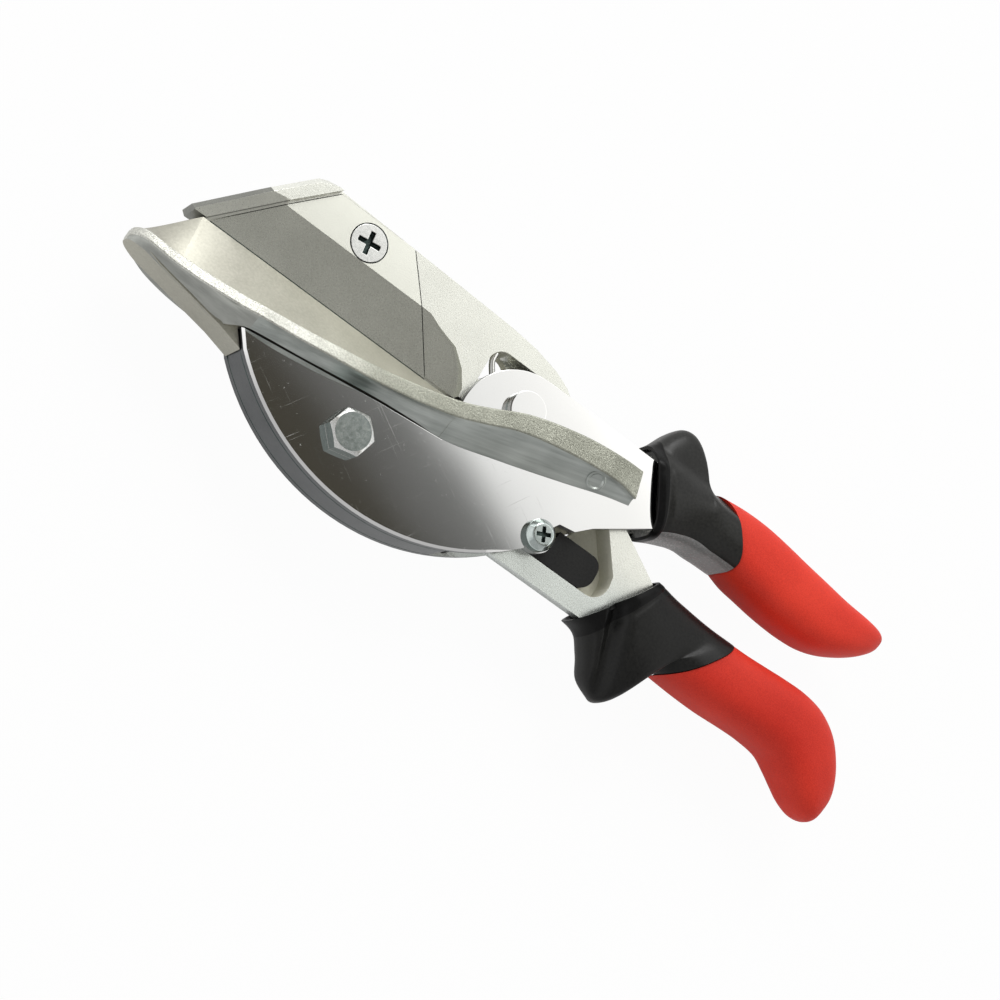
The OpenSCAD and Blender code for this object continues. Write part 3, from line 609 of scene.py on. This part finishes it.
def wing(side):
    """A stern wing outside the plate on one side, its end leaning forward at the top."""
    xs = steps(WING_FROM, WING_END, WING_STEP)
    bm = bmesh.new()
    rings = []
    for x in xs:
        half = table_half(x, WING_IN)
        lean = WING_LEAN * max(0.0, (x - WING_LEAN_FROM) / (WING_END - WING_LEAN_FROM)) ** 2
        low = min(y for _, y, _ in half)
        rings.append([at(x - lean * (y - low), y, side * z) for z, y, _ in half])
    if side < 0:
        rings = [r[::-1] for r in rings]
    half = table_half(0.0, WING_IN)
    verts = bridge(bm, rings, rim_faces(half if side > 0 else half[::-1]))
    cap(bm, verts[0][::-1])
    cap(bm, verts[-1], 1)
    return new_piece("wing", bm, ["casting", "rim", "wing_side"], CAST_DEG)


# Round mark of the mould on a wing's side: where it lies, its radius, the wing's rise there in degrees, and its
# outline as (distance in from the radius, lift)
MARK_X, MARK_STEP, MARK_R, MARK_RISE, MARK_SIDES = 23.7, 2, 2.5, 16.0, 40
MARK_FORM = ((0, -0.5), (0, 0.3), (0.2, 0.42), (0.5, 0.42), (0.9, 0.05))


def mould_mark(side):
    """The mark as a low dished button, sunk into the wing on one side."""
    panel = [q for q in table_half(MARK_X, WING_IN) if q[2] == 2]
    (z0, y0, _), (z1, y1, _) = panel[MARK_STEP - 1], panel[MARK_STEP + 1]
    down = Vector((0, y1 - y0, side * (z1 - z0))).normalized()
    run = Vector((math.cos(math.radians(MARK_RISE)), math.sin(math.radians(MARK_RISE)), 0))
    run = (run - down * run.dot(down)).normalized()
    out = run.cross(down) * (1 if run.cross(down).z * side > 0 else -1)
    middle = Vector((MARK_X, panel[MARK_STEP][1], side * panel[MARK_STEP][0]))
    bm = bmesh.new()
    rings = []
    for inset, lift in MARK_FORM:
        r = MARK_R - inset
        rings.append([at(*(middle + out * lift + r * (math.cos(a) * run + math.sin(a) * down)))
                      for a in (2 * math.pi * k / MARK_SIDES for k in range(MARK_SIDES))])
    verts = bridge(bm, rings)
    cap(bm, verts[0][::-1])
    cap(bm, verts[-1])
    return new_piece("mould_mark", bm, ["wing_side"], CAST_DEG)


def joined(obj, other):
    """Adds the mesh of another piece to a piece, with its materials."""
    bm = bmesh.new()
    bm.from_mesh(obj.data)
    first = len(bm.faces)
    bm.from_mesh(other.data)
    bm.faces.ensure_lookup_table()
    names = list(obj.data.materials)
    for m in other.data.materials:
        if m not in names:
            names.append(m)
            obj.data.materials.append(m)
    for f in bm.faces[first:]:
        f.material_index = names.index(other.data.materials[f.material_index])
    bm.to_mesh(obj.data)
    bm.free()
    bpy.data.meshes.remove(other.data)
    return obj


def arc_points(cx, cy, r, a0, a1, count):
    """Points on an arc round (cx, cy), from the angle a0 to a1 in degrees."""
    return [(cx + r * math.cos(math.radians(a0 + (a1 - a0) * i / count)),
             cy + r * math.sin(math.radians(a0 + (a1 - a0) * i / count))) for i in range(count + 1)]


def slab(name, outline, z0, z1, mats, bevel, segments=3):
    """A flat solid of an outline, with rounded edges in its last material."""
    bm = bmesh.new()
    low = [bm.verts.new(at(x, y, z0)) for x, y in outline]
    high = [bm.verts.new(at(x, y, z1)) for x, y in outline]
    bm.faces.new(low[::-1])
    bm.faces.new(high)
    n = len(outline)
    for i in range(n):
        bm.faces.new((low[i], low[(i + 1) % n], high[(i + 1) % n], high[i]))
    bmesh.ops.recalc_face_normals(bm, faces=bm.faces[:])
    sharp = [e for e in bm.edges if len(e.link_faces) == 2 and e.calc_face_angle(0) > math.radians(CAST_DEG)]
    bmesh.ops.bevel(bm, geom=sharp, offset=bevel * MM, segments=segments, profile=BEVEL_PROFILE,
                    affect="EDGES", clamp_overlap=True, material=len(mats) - 1)
    return new_piece(name, bm, mats)


# Arc of the plates' belly and of the keel between them, as its middle and radius, and the radius round the
# pivot that clears the lever
BELLY = (-24.4, 13.4, 58.0)
SWEEP_R = 35.62
# The keel: its front corners, its blunt tail short of the open lever's edge, its top corner behind, and where
# the tone of its end begins
KEEL_FRONT, KEEL_TAIL, KEEL_TOP = [(-66, -20), (-67.6, -24.4)], (1.2, -37.3), (-15, -15)
KEEL_END_FROM = -1.0
KEEL_EDGE = 0.5
STEM = [(-94, -20.8), (-94, -22), (-90, -23.1), (-82, -24.6), (-72, -26.4), (-65.9, -28), (-65, -28.3),
        (-68.2, -24.1), (-68.2, -21)]
STEM_HALF, STEM_EDGE = 5, 0.6

table = joined(joined(table_front(), wing(1)), wing(-1))
table = joined(joined(table, mould_mark(1)), mould_mark(-1))
keel_arc = arc_points(*BELLY, -134.2, -63.8, 56)[1:]
keel_arc += [KEEL_TAIL] + arc_points(0, 0, SWEEP_R, -94.2, -114.9, 12)
# The keel's sides take the plate edges' painted shade, and its rounded edges the darker painted shade
keel = slab("keel", KEEL_FRONT + keel_arc + [KEEL_TOP], -PLATE_IN + PLATE_FIT, PLATE_IN - PLATE_FIT,
            ["plate_edge_shade", "painted_shade"], KEEL_EDGE)
for f in keel.data.polygons:
    if from_pivot(f.center).x > KEEL_END_FROM:
        f.material_index = 0
stem = slab("stem", STEM, -STEM_HALF, STEM_HALF, ["casting"], STEM_EDGE)
stand_for(joined(joined(table, keel), stem), "mitre_table")

# Plates: where the plain rear edge begins, the width of the border along the belly, and the room left beside it
REAR_EDGE_FROM = 12.0
BELLY_BAND = 5.0
BAND_ROOM = 1.6


def everywhere(middle):
    return True


def side_wall(middle, normal):
    """Picks the tone of a plate's faces, its cut edge, darkened as painted shade, and its rear edge."""
    if abs(normal.z) > 0.5:
        return 0
    return 1 if middle.x < REAR_EDGE_FROM else 2


def outer(p):
    """Whether an edge lies on a plate's outer face."""
    return abs(p.z) > PLATE_OUT - 0.5


def off_belly(p):
    """How far a place is outside the keel's arc."""
    return math.hypot(p.x - BELLY[0], p.y - BELLY[1]) - BELLY[2]


def belly_edge(p):
    """Whether an edge gets the chamfer along the belly."""
    return off_belly(p) > -BELLY_BAND and p.x < REAR_EDGE_FROM and outer(p)


def off_band(p):
    """Whether an edge is clear of the belly's border."""
    return off_belly(p) < -BELLY_BAND - BAND_ROOM


for name in ("near_side_plate", "far_side_plate"):
    dressed(name, [(0.6, 1, belly_edge, "full"), (0.15, 2, lambda p: outer(p) and off_band(p)),
                   (0.2, 2, lambda p: not outer(p) and off_band(p))],
            ["plate", "plate_edge_shade", "steel"], side_wall)

# Fasteners and the slider: the floor of the pivot head's slot and its depth, and the slider's flat top
SLOT_FLOOR, SLOT_DEPTH = 8.6, 1.0
SLIDER_TOP = 4.3


def bolt_tone(middle, normal):
    """Picks the tone of the hex head's flat top, its chamfer, brighter as a painted highlight, and its sides,
    darker as painted shade.
    """
    if abs(normal.z) < 0.3:
        return 2
    return 1 if abs(normal.z) < 0.97 else 0


dressed("table_bolt", [(0.2, 2, everywhere)], ["bolt", "screw", "bolt_side"], bolt_tone)


def fill_slot(bm):
    """Leaves the pivot head plain, as its slot isn't seen."""
    for v in bm.verts:
        if abs(from_pivot(v.co).z - SLOT_FLOOR) < 0.05:
            v.co.z += SLOT_DEPTH * MM
    merge_flat(bm)


def head_tone(middle, normal):
    """Picks the tone of the pivot head's flat top and its rounded border, which takes painted shade as a dark
    ring.
    """
    if middle.z < SLOT_FLOOR or normal.z < 0.2:
        return 0
    return 1 if normal.z > 0.95 else 2


dressed("pivot_bolt", [(0.25, 2, everywhere)], ["screw", "plate", "painted_shade"], head_tone, fill_slot)
for name, width in [("table_nut", 0.3), ("pivot_nut", 0.3), ("lock_nut", 0.3), ("anvil_insert", 0.2)]:
    dressed(name, [(width, 2, everywhere)])


def level_slider(bm):
    """Brings the thumb pad down to the bar, for one flat top."""
    for v in bm.verts:
        if from_pivot(v.co).z > SLIDER_TOP:
            v.co.z = PIVOT.z + SLIDER_TOP * MM
    merge_flat(bm)


dressed("lock_slider", [(0.3, 2, everywhere)], before=level_slider)

# Blade and its screw, the lever with its cap, and the lock screw
LEVER_FACE = 4.4
# The blade's two ends, as lines from x, y to x, y, and the joint beside them
BLADE_LEFT = ((-86.8, -7.0), (-63.9, 17.6))
BLADE_RIGHT = ((-22.7, -7.0), (-42.1, 17.6))
BLADE_GAP = 0.22
# Below this line the cutting edge takes painted shade, a dark line where the blade meets the land
EDGE_SHADE_Y = -6.1
CAP_CHAMFER, CAP_FROM = 1.2, -64.0
# How high over the lever's face its ground bevel goes, and how far under it the blade's seat lies, past which
# sunken floors take the blade's brighter tone as painted light
BEVEL_RISE, SEAT_DROP = 1.7, 0.5
BEVEL_TOP = 8.0
# The blade screw: its place, the radius past which its head is drawn in, by how much, and its cross's reach
SCREW_AT, SCREW_HEAD_FROM, SCREW_GAP, SCREW_CROSS_R = (-52.4, 11.8), 3.4, 0.22, 3.2
# The lock screw: its place, the radius past which its border lies, the reach of its cross and of the cross's
# edges, and the heights where its head begins and ends
LOCK_AT, LOCK_BORDER_R, LOCK_CROSS_R, LOCK_EDGE_R = (18.2, -23.1), 2.4, 2.1, 2.2
LOCK_HEAD_FROM, LOCK_TOP = 8, PLATE_OUT + 3.0
# The relief under the arm: where the CAD ends it, the height that it lies under, and how far it is run on
RELIEF_END, RELIEF_UNDER, RELIEF_ON = 38.45, -30.0, 3.0
# The window over the spring's end: its middle, its radius, and the hub's radius inside it
WINDOW_AT, WINDOW_R, WINDOW_IN = (-9.2, 6.7), 4.3, 9.5
ON_LINE, NEAR_LINE = 0.02, 0.3
# The slider's slot: from y, to y, from x, and its slanted side
SLOT_LOW, SLOT_HIGH, SLOT_FROM, SLOT_SIDE, SLOT_LEAN = -28.0, -9.4, 20.0, 34.6, 0.73


def off_line(p, line):
    """How far a place is from a line through two points."""
    (x0, y0), (x1, y1) = line
    return abs((p.x - x0) * (y1 - y0) - (p.y - y0) * (x1 - x0)) / math.hypot(x1 - x0, y1 - y0)


def seat_blade(bm):
    """Draws the blade's two ends in, for the joint round it, and marks off the strip along the cutting edge that
    takes painted shade.
    """
    for v in bm.verts:
        p = from_pivot(v.co)
        if off_line(p, BLADE_LEFT) < ON_LINE:
            v.co.x += BLADE_GAP * MM
        elif off_line(p, BLADE_RIGHT) < ON_LINE:
            v.co.x -= BLADE_GAP * MM
    bmesh.ops.bisect_plane(bm, geom=bm.verts[:] + bm.edges[:] + bm.faces[:], plane_co=at(0, EDGE_SHADE_Y),
                           plane_no=(0, 1, 0), dist=1e-7)


def blade_tone(middle, normal):
    """Picks the tone of the blade's flat, its ground bevel, and the painted shade on its ends in the joint and
    along its cutting edge.
    """
    if normal.y > 0.7:
        return 0
    if normal.z < 0.9 or middle.y < EDGE_SHADE_Y:
        return 2
    return 0 if normal.z > 0.995 else 1


def screw_tone(place, top, reach):
    """Gives the paint of a screw whose cross takes painted shade in its recess."""
    def tone(middle, normal):
        near = math.hypot(middle.x - place[0], middle.y - place[1]) < reach
        return 1 if near and middle.z < top - 0.12 and (normal.z > 0.9 or abs(normal.z) < 0.2) else 0
    return tone


def shape_lever(bm):
    """Runs the relief on into the collar, and parts the cap's faces where its ground bevel ends."""
    for v in bm.verts:
        p = from_pivot(v.co)
        if abs(p.x - RELIEF_END) < 0.1 and p.y < RELIEF_UNDER:
            v.co.x += RELIEF_ON * MM
    bmesh.ops.bisect_plane(bm, geom=bm.verts[:] + bm.edges[:] + bm.faces[:], plane_co=at(0, BEVEL_TOP),
                           plane_no=(0, 1, 0), dist=1e-7)


def in_slot(p):
    """Whether a place is on the floor or the walls of the slider's slot."""
    if not SLOT_LOW < p.y < SLOT_HIGH or p.x < SLOT_FROM or p.z > LEVER_FACE - 0.4:
        return False
    return p.x < SLOT_SIDE + (SLOT_HIGH - p.y) * SLOT_LEAN


def in_window(p):
    """Whether a place is on the wall of the window over the spring's end."""
    return math.hypot(p.x - WINDOW_AT[0], p.y - WINDOW_AT[1]) < WINDOW_R and math.hypot(p.x, p.y) > WINDOW_IN


def lever_tone(middle, normal):
    """Picks the tone of the slot and window, which take painted light, the cap and its side, which takes painted
    shade, the ground bevel, and the blade's seat with the other sunken floors, which take painted light.
    """
    if (in_slot(middle) and normal.z > -0.5) or (abs(normal.z) < 0.3 and in_window(middle)):
        return 3
    if middle.x < CAP_FROM and middle.y < BEVEL_TOP and normal.z > -0.5:
        if off_line(middle, BLADE_LEFT) > NEAR_LINE:
            # The cap's side takes painted shade
            return 4 if normal.z > 0.9 else 5
    if 0.9 < normal.z < 0.99 and middle.z < LEVER_FACE + BEVEL_RISE:
        return 1
    # Sunken floors take the blade's brighter tone as painted light
    return 2 if normal.z > 0.99 and middle.z < LEVER_FACE - SEAT_DROP else 0


def cap_edge(p):
    """Whether an edge is on the cap's upper border."""
    return p.z > 3 and p.x < CAP_FROM - 0.5 and p.y > -5 and off_line(p, BLADE_LEFT) > 2.2


def lever_edge(p):
    """Whether an edge is clear of the blade's two ends."""
    return off_line(p, BLADE_LEFT) > NEAR_LINE and off_line(p, BLADE_RIGHT) > NEAR_LINE


def draw_in_head(bm):
    """Leaves a dark ring round the blade screw's head."""
    for v in bm.verts:
        p = from_pivot(v.co)
        reach = math.hypot(p.x - SCREW_AT[0], p.y - SCREW_AT[1])
        if reach > SCREW_HEAD_FROM and p.z > 0:
            share = SCREW_GAP / reach
            v.co.x -= (p.x - SCREW_AT[0]) * share * MM
            v.co.y -= (p.y - SCREW_AT[1]) * share * MM


def from_lock(p):
    """How far a place is from the lock screw's axis."""
    return math.hypot(p.x - LOCK_AT[0], p.y - LOCK_AT[1])


def lock_tone(middle, normal):
    """Picks the tone of the lock screw's side, darker as painted shade, its face, and its cross, whose recess
    takes painted shade.
    """
    if abs(normal.z) < 0.3 and from_lock(middle) > LOCK_BORDER_R:
        return 2
    return screw_tone(LOCK_AT, LOCK_TOP, LOCK_CROSS_R)(middle, normal)


dressed("blade", [(0.06, 1, lambda p: p.y > 17)], ["blade", "bevel", "painted_shade"], blade_tone, seat_blade)
dressed("blade_lever", [(CAP_CHAMFER, 1, cap_edge), (0.3, 2, lever_edge)],
        ["lever", "bevel", "blade", "painted_light", "cap", "cap_side_shade"], lever_tone, shape_lever)
dressed("blade_screw", [(0.15, 2, everywhere)], ["screw", "painted_shade"],
        screw_tone(SCREW_AT, LEVER_FACE, SCREW_CROSS_R), draw_in_head)
dressed("lock_screw", [(0.7, 4, lambda p: from_lock(p) > LOCK_BORDER_R and p.z > LOCK_HEAD_FROM),
                       (0.1, 2, lambda p: from_lock(p) < LOCK_EDGE_R and p.z > LOCK_HEAD_FROM)],
        ["bolt", "painted_shade", "bolt_side"], lock_tone)

# Opening spring: a round wire wound along the CAD tube's middle line, from its leg to its inner end
COIL_R, WIRE_R, COIL_PITCH, COIL_TOP, COIL_TURNS = 8.85, 0.75, 2.05, 3.45, 2
COIL_STEPS, COIL_FROM_DEG, WIRE_SIDES = 8, 175, 14
SPRING_LEG, SPRING_END = [(-12.1, 9.2), (-12.0, 7.0), (-10.9, 5.0), (-9.5, 3.0)], (-9.1, -2.2)


def spring():
    points = [(x, y, COIL_TOP) for x, y in SPRING_LEG]
    for i in range(COIL_STEPS * COIL_TURNS + 1):
        a = math.radians(COIL_FROM_DEG + 360 / COIL_STEPS * i)
        points.append((COIL_R * math.cos(a), COIL_R * math.sin(a), COIL_TOP - COIL_PITCH * i / COIL_STEPS))
    points.append((*SPRING_END, COIL_TOP - COIL_PITCH * COIL_TURNS))
    path = [Vector(p) for p in smooth_list(points, 5)]
    bm = bmesh.new()
    rings = []
    for i, p in enumerate(path):
        run = (path[min(i + 1, len(path) - 1)] - path[max(i - 1, 0)]).normalized()
        across = run.cross(Vector((0, 0, 1))).normalized()
        up = across.cross(run)
        rings.append([at(*(p + WIRE_R * (math.cos(a) * across + math.sin(a) * up)))
                      for a in (2 * math.pi * k / WIRE_SIDES for k in range(WIRE_SIDES))])
    ends = bridge(bm, rings)
    cap(bm, ends[0][::-1])
    cap(bm, ends[-1])
    return stand_for(new_piece("opening_spring_wire", bm, ["wire"], ROUND_DEG), "opening_spring")


spring()

for name, obj in NODES.items():
    obj.data.materials.clear()
    obj.data.materials.append(MATS[SLOT_OF[name]])

# Camera, fitted to the photograph: its axes in the row frame, and where the pivot falls in the picture
CAM_RIGHT = Vector((0.770, 0.465, 0.442)).normalized()
CAM_BACK = Vector((-0.306, -0.331, 0.890)).normalized()
CAM_UP = CAM_BACK.cross(CAM_RIGHT).normalized()
CAM_RIGHT = CAM_UP.cross(CAM_BACK)
CAM_DISTANCE = 0.600
PIXELS_PER_MM = 4.2
PICTURE = 1000
PIVOT_PIXEL = (511, 416)
SENSOR = 36.0

cam_data = bpy.data.cameras.new("camera")
cam_data.sensor_width = SENSOR
cam_data.lens = PIXELS_PER_MM * CAM_DISTANCE / MM / PICTURE * SENSOR
cam_data.clip_start = 0.01
cam = bpy.data.objects.new("camera", cam_data)
bpy.context.scene.collection.objects.link(cam)
offset = CAM_RIGHT * ((PIVOT_PIXEL[0] - PICTURE / 2) / PIXELS_PER_MM * MM)
offset += CAM_UP * ((PICTURE / 2 - PIVOT_PIXEL[1]) / PIXELS_PER_MM * MM)
turn = Matrix((CAM_RIGHT, CAM_UP, CAM_BACK)).transposed().to_4x4()
cam.matrix_world = Matrix.Translation(PIVOT + CAM_BACK * CAM_DISTANCE - offset) @ turn
bpy.context.scene.camera = cam

# Floor and light. The floor's whiteness is what the camera sees of it, and what metal mirrors of it
FLOOR_WHITE = 0.96
FLOOR_MIRRORED = 0.40
FLOOR_HALF, FLOOR_BELOW = 4.0, 0.0002
# Where the panel's edge lies, as a lean toward +X and +Y over height, and the tones across it
PANEL_SIDE = (0.34, 0.94)
PANEL_STOPS = [(-1.0, (0.55, 0.55, 0.55)), (-0.3, (0.50, 0.50, 0.50)), (0.05, (0.42, 0.42, 0.41)),
               (0.28, (0.16, 0.14, 0.11)), (0.36, (0.075, 0.066, 0.048)), (0.415, (0.058, 0.054, 0.043)),
               (0.43, (0.13, 0.13, 0.125)), (0.456, (0.19, 0.195, 0.19)), (0.470, (0.96, 0.97, 0.96)),
               (0.52, (1.12, 1.12, 1.10)), (0.58, (1.8, 1.8, 1.76)), (0.8, (1.7, 1.7, 1.66)),
               (1.0, (0.9, 0.9, 0.9))]
WORLD_STRENGTH = 1.9
LEAST_HEIGHT = 0.04
# A low light at the nose's side: its lean toward -X over height where it begins, and its tone
SIDE_FROM = 1.3
SIDE_LIGHT = 0.7


def floor():
    """A wide pale floor just under the part."""
    bm = bmesh.new()
    bmesh.ops.create_grid(bm, x_segments=1, y_segments=1, size=FLOOR_HALF)
    mesh = bpy.data.meshes.new("floor")
    bm.to_mesh(mesh)
    bm.free()
    obj = bpy.data.objects.new("floor", mesh)
    obj.location.z = CAD_BOUNDS[0].z - FLOOR_BELOW
    mat = bpy.data.materials.new("pale_floor")
    mat.use_nodes = True
    tree = mat.node_tree
    shader = tree.nodes["Principled BSDF"]
    shader.inputs["Base Color"].default_value = (0.8, 0.8, 0.8, 1)
    shader.inputs["Roughness"].default_value = 0.9
    path = tree.nodes.new("ShaderNodeLightPath")
    seen = tree.nodes.new("ShaderNodeMath")
    seen.operation = "MAXIMUM"
    for output, strength, socket in (("Is Camera Ray", FLOOR_WHITE, 0), ("Is Glossy Ray", FLOOR_MIRRORED, 1)):
        share = tree.nodes.new("ShaderNodeMath")
        share.operation = "MULTIPLY"
        share.inputs[1].default_value = strength
        tree.links.new(path.outputs[output], share.inputs[0])
        tree.links.new(share.outputs[0], seen.inputs[socket])
    white = tree.nodes.new("ShaderNodeEmission")
    mixed = tree.nodes.new("ShaderNodeMixShader")
    tree.links.new(seen.outputs[0], mixed.inputs["Fac"])
    tree.links.new(shader.outputs[0], mixed.inputs[1])
    tree.links.new(white.outputs[0], mixed.inputs[2])
    tree.links.new(mixed.outputs[0], tree.nodes["Material Output"].inputs["Surface"])
    mesh.materials.append(mat)
    bpy.context.scene.collection.objects.link(obj)


def lamp(name, place, target, size, power):
    data = bpy.data.lights.new(name, "AREA")
    data.shape = "RECTANGLE"
    data.size, data.size_y = size
    data.energy = power
    obj = bpy.data.objects.new(name, data)
    obj.location = place
    obj.rotation_euler = (Vector(target) - Vector(place)).to_track_quat("-Z", "Y").to_euler()
    bpy.context.scene.collection.objects.link(obj)


def studio():
    """World light by direction: a bright panel above and behind, a dark flag beside it, grey elsewhere."""
    world = bpy.data.worlds.new("studio")
    bpy.context.scene.world = world
    world.use_nodes = True
    tree = world.node_tree
    add = tree.nodes.new
    link = tree.links.new
    split = add("ShaderNodeSeparateXYZ")
    link(add("ShaderNodeTexCoord").outputs["Generated"], split.inputs[0])

    def math_node(kind, a, b):
        n = add("ShaderNodeMath")
        n.operation = kind
        for socket, v in zip(n.inputs, (a, b)):
            if isinstance(v, float):
                socket.default_value = v
            else:
                link(v, socket)
        return n.outputs[0]

    height = math_node("MAXIMUM", split.outputs["Z"], LEAST_HEIGHT)
    lean = math_node("ADD", math_node("MULTIPLY", split.outputs["X"], PANEL_SIDE[0]),
                     math_node("MULTIPLY", split.outputs["Y"], PANEL_SIDE[1]))
    slope = math_node("DIVIDE", lean, height)
    place = math_node("ADD", math_node("MULTIPLY", slope, 0.5), 0.5)
    ramp = add("ShaderNodeValToRGB")
    elements = ramp.color_ramp.elements
    while len(elements) < len(PANEL_STOPS):
        elements.new(0.5)
    for e, (position, colour) in zip(elements, PANEL_STOPS):
        e.position = position * 0.5 + 0.5
        e.color = (*(v / WORLD_STRENGTH for v in colour), 1)
    link(place, ramp.inputs["Fac"])
    link(ramp.outputs["Color"], tree.nodes["Background"].inputs["Color"])
    tree.nodes["Background"].inputs["Strength"].default_value = WORLD_STRENGTH
    ahead = math_node("MULTIPLY", split.outputs["X"], -1.0)
    beside = math_node("SUBTRACT", math_node("DIVIDE", ahead, height), SIDE_FROM)
    share = math_node("MINIMUM", math_node("MAXIMUM", beside, 0.0), 1.0)
    side = add("ShaderNodeBackground")
    link(math_node("MULTIPLY", share, SIDE_LIGHT), side.inputs["Strength"])
    both = add("ShaderNodeAddShader")
    link(tree.nodes["Background"].outputs[0], both.inputs[0])
    link(side.outputs[0], both.inputs[1])
    link(both.outputs[0], tree.nodes["World Output"].inputs["Surface"])


floor()
lamp("key", (-0.30, 1.05, 0.95), (0.0, 0.0, 0.0), (0.6, 0.6), 8.0)
studio()
bpy.context.scene.view_settings.view_transform = "Standard"
